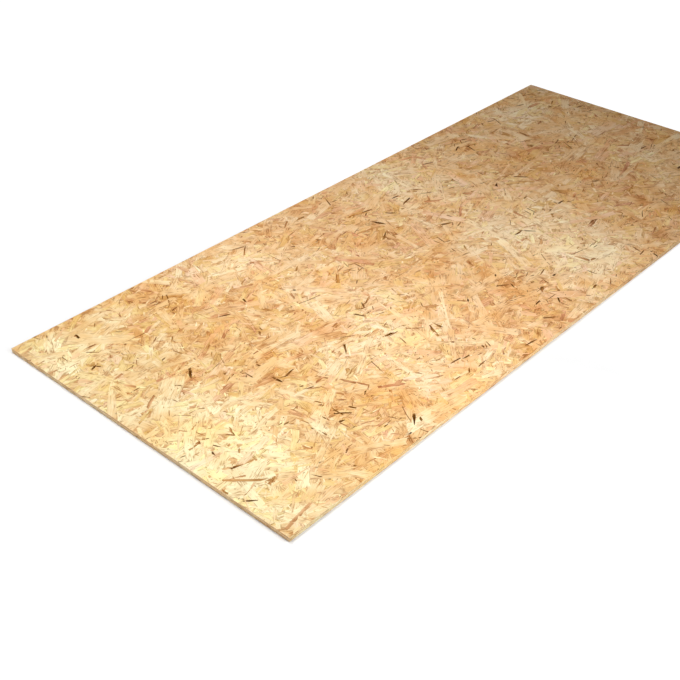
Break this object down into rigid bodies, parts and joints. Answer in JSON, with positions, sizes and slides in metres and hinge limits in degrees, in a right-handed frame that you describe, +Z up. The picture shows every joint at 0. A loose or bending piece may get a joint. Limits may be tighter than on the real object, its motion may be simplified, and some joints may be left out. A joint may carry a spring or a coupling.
{
  "type": "osb board",
  "caption": "Flat square-edged oriented strand board, a pressed sheet of resin-bonded wood strands for sheathing walls, floors and roofs.",
  "frame": {"origin": "centre of the bottom face, on the surface that the board lies on", "axes": "+X along the length, +Y across the width, +Z up through the thickness"},
  "size_m": [2.8, 1.196, 0.015],
  "materials": {
    "strand_wood": "unsanded pressed strands, satin from the resin, with sawn edges"
  },
  "bodies": {
    "root": {"osb_board": "strand_wood"}
  },
  "joints": []
}
